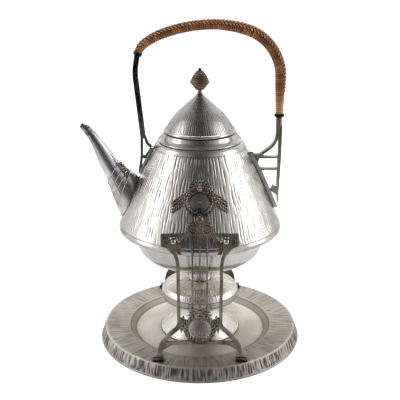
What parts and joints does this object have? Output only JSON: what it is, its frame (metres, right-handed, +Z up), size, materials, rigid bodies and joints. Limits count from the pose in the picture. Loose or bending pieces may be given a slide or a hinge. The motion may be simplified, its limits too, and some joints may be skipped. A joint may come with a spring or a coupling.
{
  "type": "spirit kettle on stand",
  "caption": "Hammered tilting tea kettle with a hinged pointed lid and a rattan over-handle, hung by pegs between lyre panels on a round tray over a spirit burner.",
  "frame": {"origin": "on the table, at the axis of the round tray", "axes": "+Z up; the spout points to -X and the upright side of the handle is at +X; the lyre panels stand at -Y (front) and +Y (back)"},
  "size_m": [0.2567, 0.2408, 0.3799],
  "materials": {
    "tray_plate": "silver plate, hammered, lightly tarnished",
    "stand_plate": "silver plate, cast, tarnished brown in the hollows",
    "steel": "plain steel",
    "burner_plate": "silver plate, hammered dome",
    "wick_cotton": "woven cotton",
    "kettle_plate": "silver plate, hammered",
    "polished_plate": "silver plate, smooth",
    "dark_ring": "darkened metal",
    "rattan": "woven split rattan over a metal core",
    "turned_wood": "turned and wound"
  },
  "bodies": {
    "stand": {"tray": "tray_plate", "front_panel": "stand_plate", "back_panel": "stand_plate", "front_strings": "stand_plate", "back_strings": "stand_plate", "front_stand_wreath": "stand_plate", "back_stand_wreath": "stand_plate", "front_rosettes": "stand_plate", "back_rosettes": "stand_plate", "front_feet": "tray_plate", "back_feet": "tray_plate", "foot_screws": "steel"},
    "pegs": {"front_peg": "stand_plate", "back_peg": "stand_plate"},
    "kettle": {"kettle_cone": "kettle_plate", "kettle_bowl": "polished_plate", "seam_band": "polished_plate", "neck_collar": "polished_plate", "spout_tube": "polished_plate", "spout_sleeve": "kettle_plate", "front_boss": "polished_plate", "back_boss": "polished_plate", "front_medallion": "kettle_plate", "back_medallion": "kettle_plate", "left_saddle": "polished_plate", "right_saddle": "polished_plate", "left_arm": "polished_plate", "right_bracket": "polished_plate", "grip_core": "polished_plate", "rattan_wrap": "rattan", "left_grip_ring": "dark_ring", "right_grip_ring": "dark_ring", "body_hinge_leaf": "polished_plate", "hinge_pin": "steel"},
    "lid": {"lid_cone": "kettle_plate", "lid_rim": "polished_plate", "lid_bezel": "polished_plate", "lid_hinge_leaf": "polished_plate", "finial_stem": "dark_ring", "finial_knob": "turned_wood", "finial_bead": "dark_ring", "finial_nut": "steel"},
    "burner": {"burner_foot": "burner_plate", "burner_bowl": "burner_plate", "burner_dome": "burner_plate", "burner_neck": "burner_plate"},
    "wick_burner": {"wick_holder": "burner_plate", "gallery": "burner_plate", "wick_tube": "burner_plate", "wick": "wick_cotton"}
  },
  "joints": [
    {"name": "kettle_lift", "type": "slide", "parent": "stand", "child": "pegs", "axis": [0, 0, 1], "range_m": [0, 0.09]},
    {"name": "kettle_tilt", "type": "hinge", "parent": "pegs", "child": "kettle", "pos_m": [0, 0, 0.183], "axis": [0, -1, 0], "range_deg": [-15, 45]},
    {"name": "lid_hinge", "type": "hinge", "parent": "kettle", "child": "lid", "pos_m": [0, 0.045, 0.2546], "axis": [-1, 0, 0], "range_deg": [0, 95]},
    {"name": "burner_lift", "type": "slide", "parent": "stand", "child": "burner", "axis": [0, 0, 1], "range_m": [0, 0.012]},
    {"name": "wick_burner_lift", "type": "slide", "parent": "burner", "child": "wick_burner", "axis": [0, 0, 1], "range_m": [0, 0.01]}
  ]
}
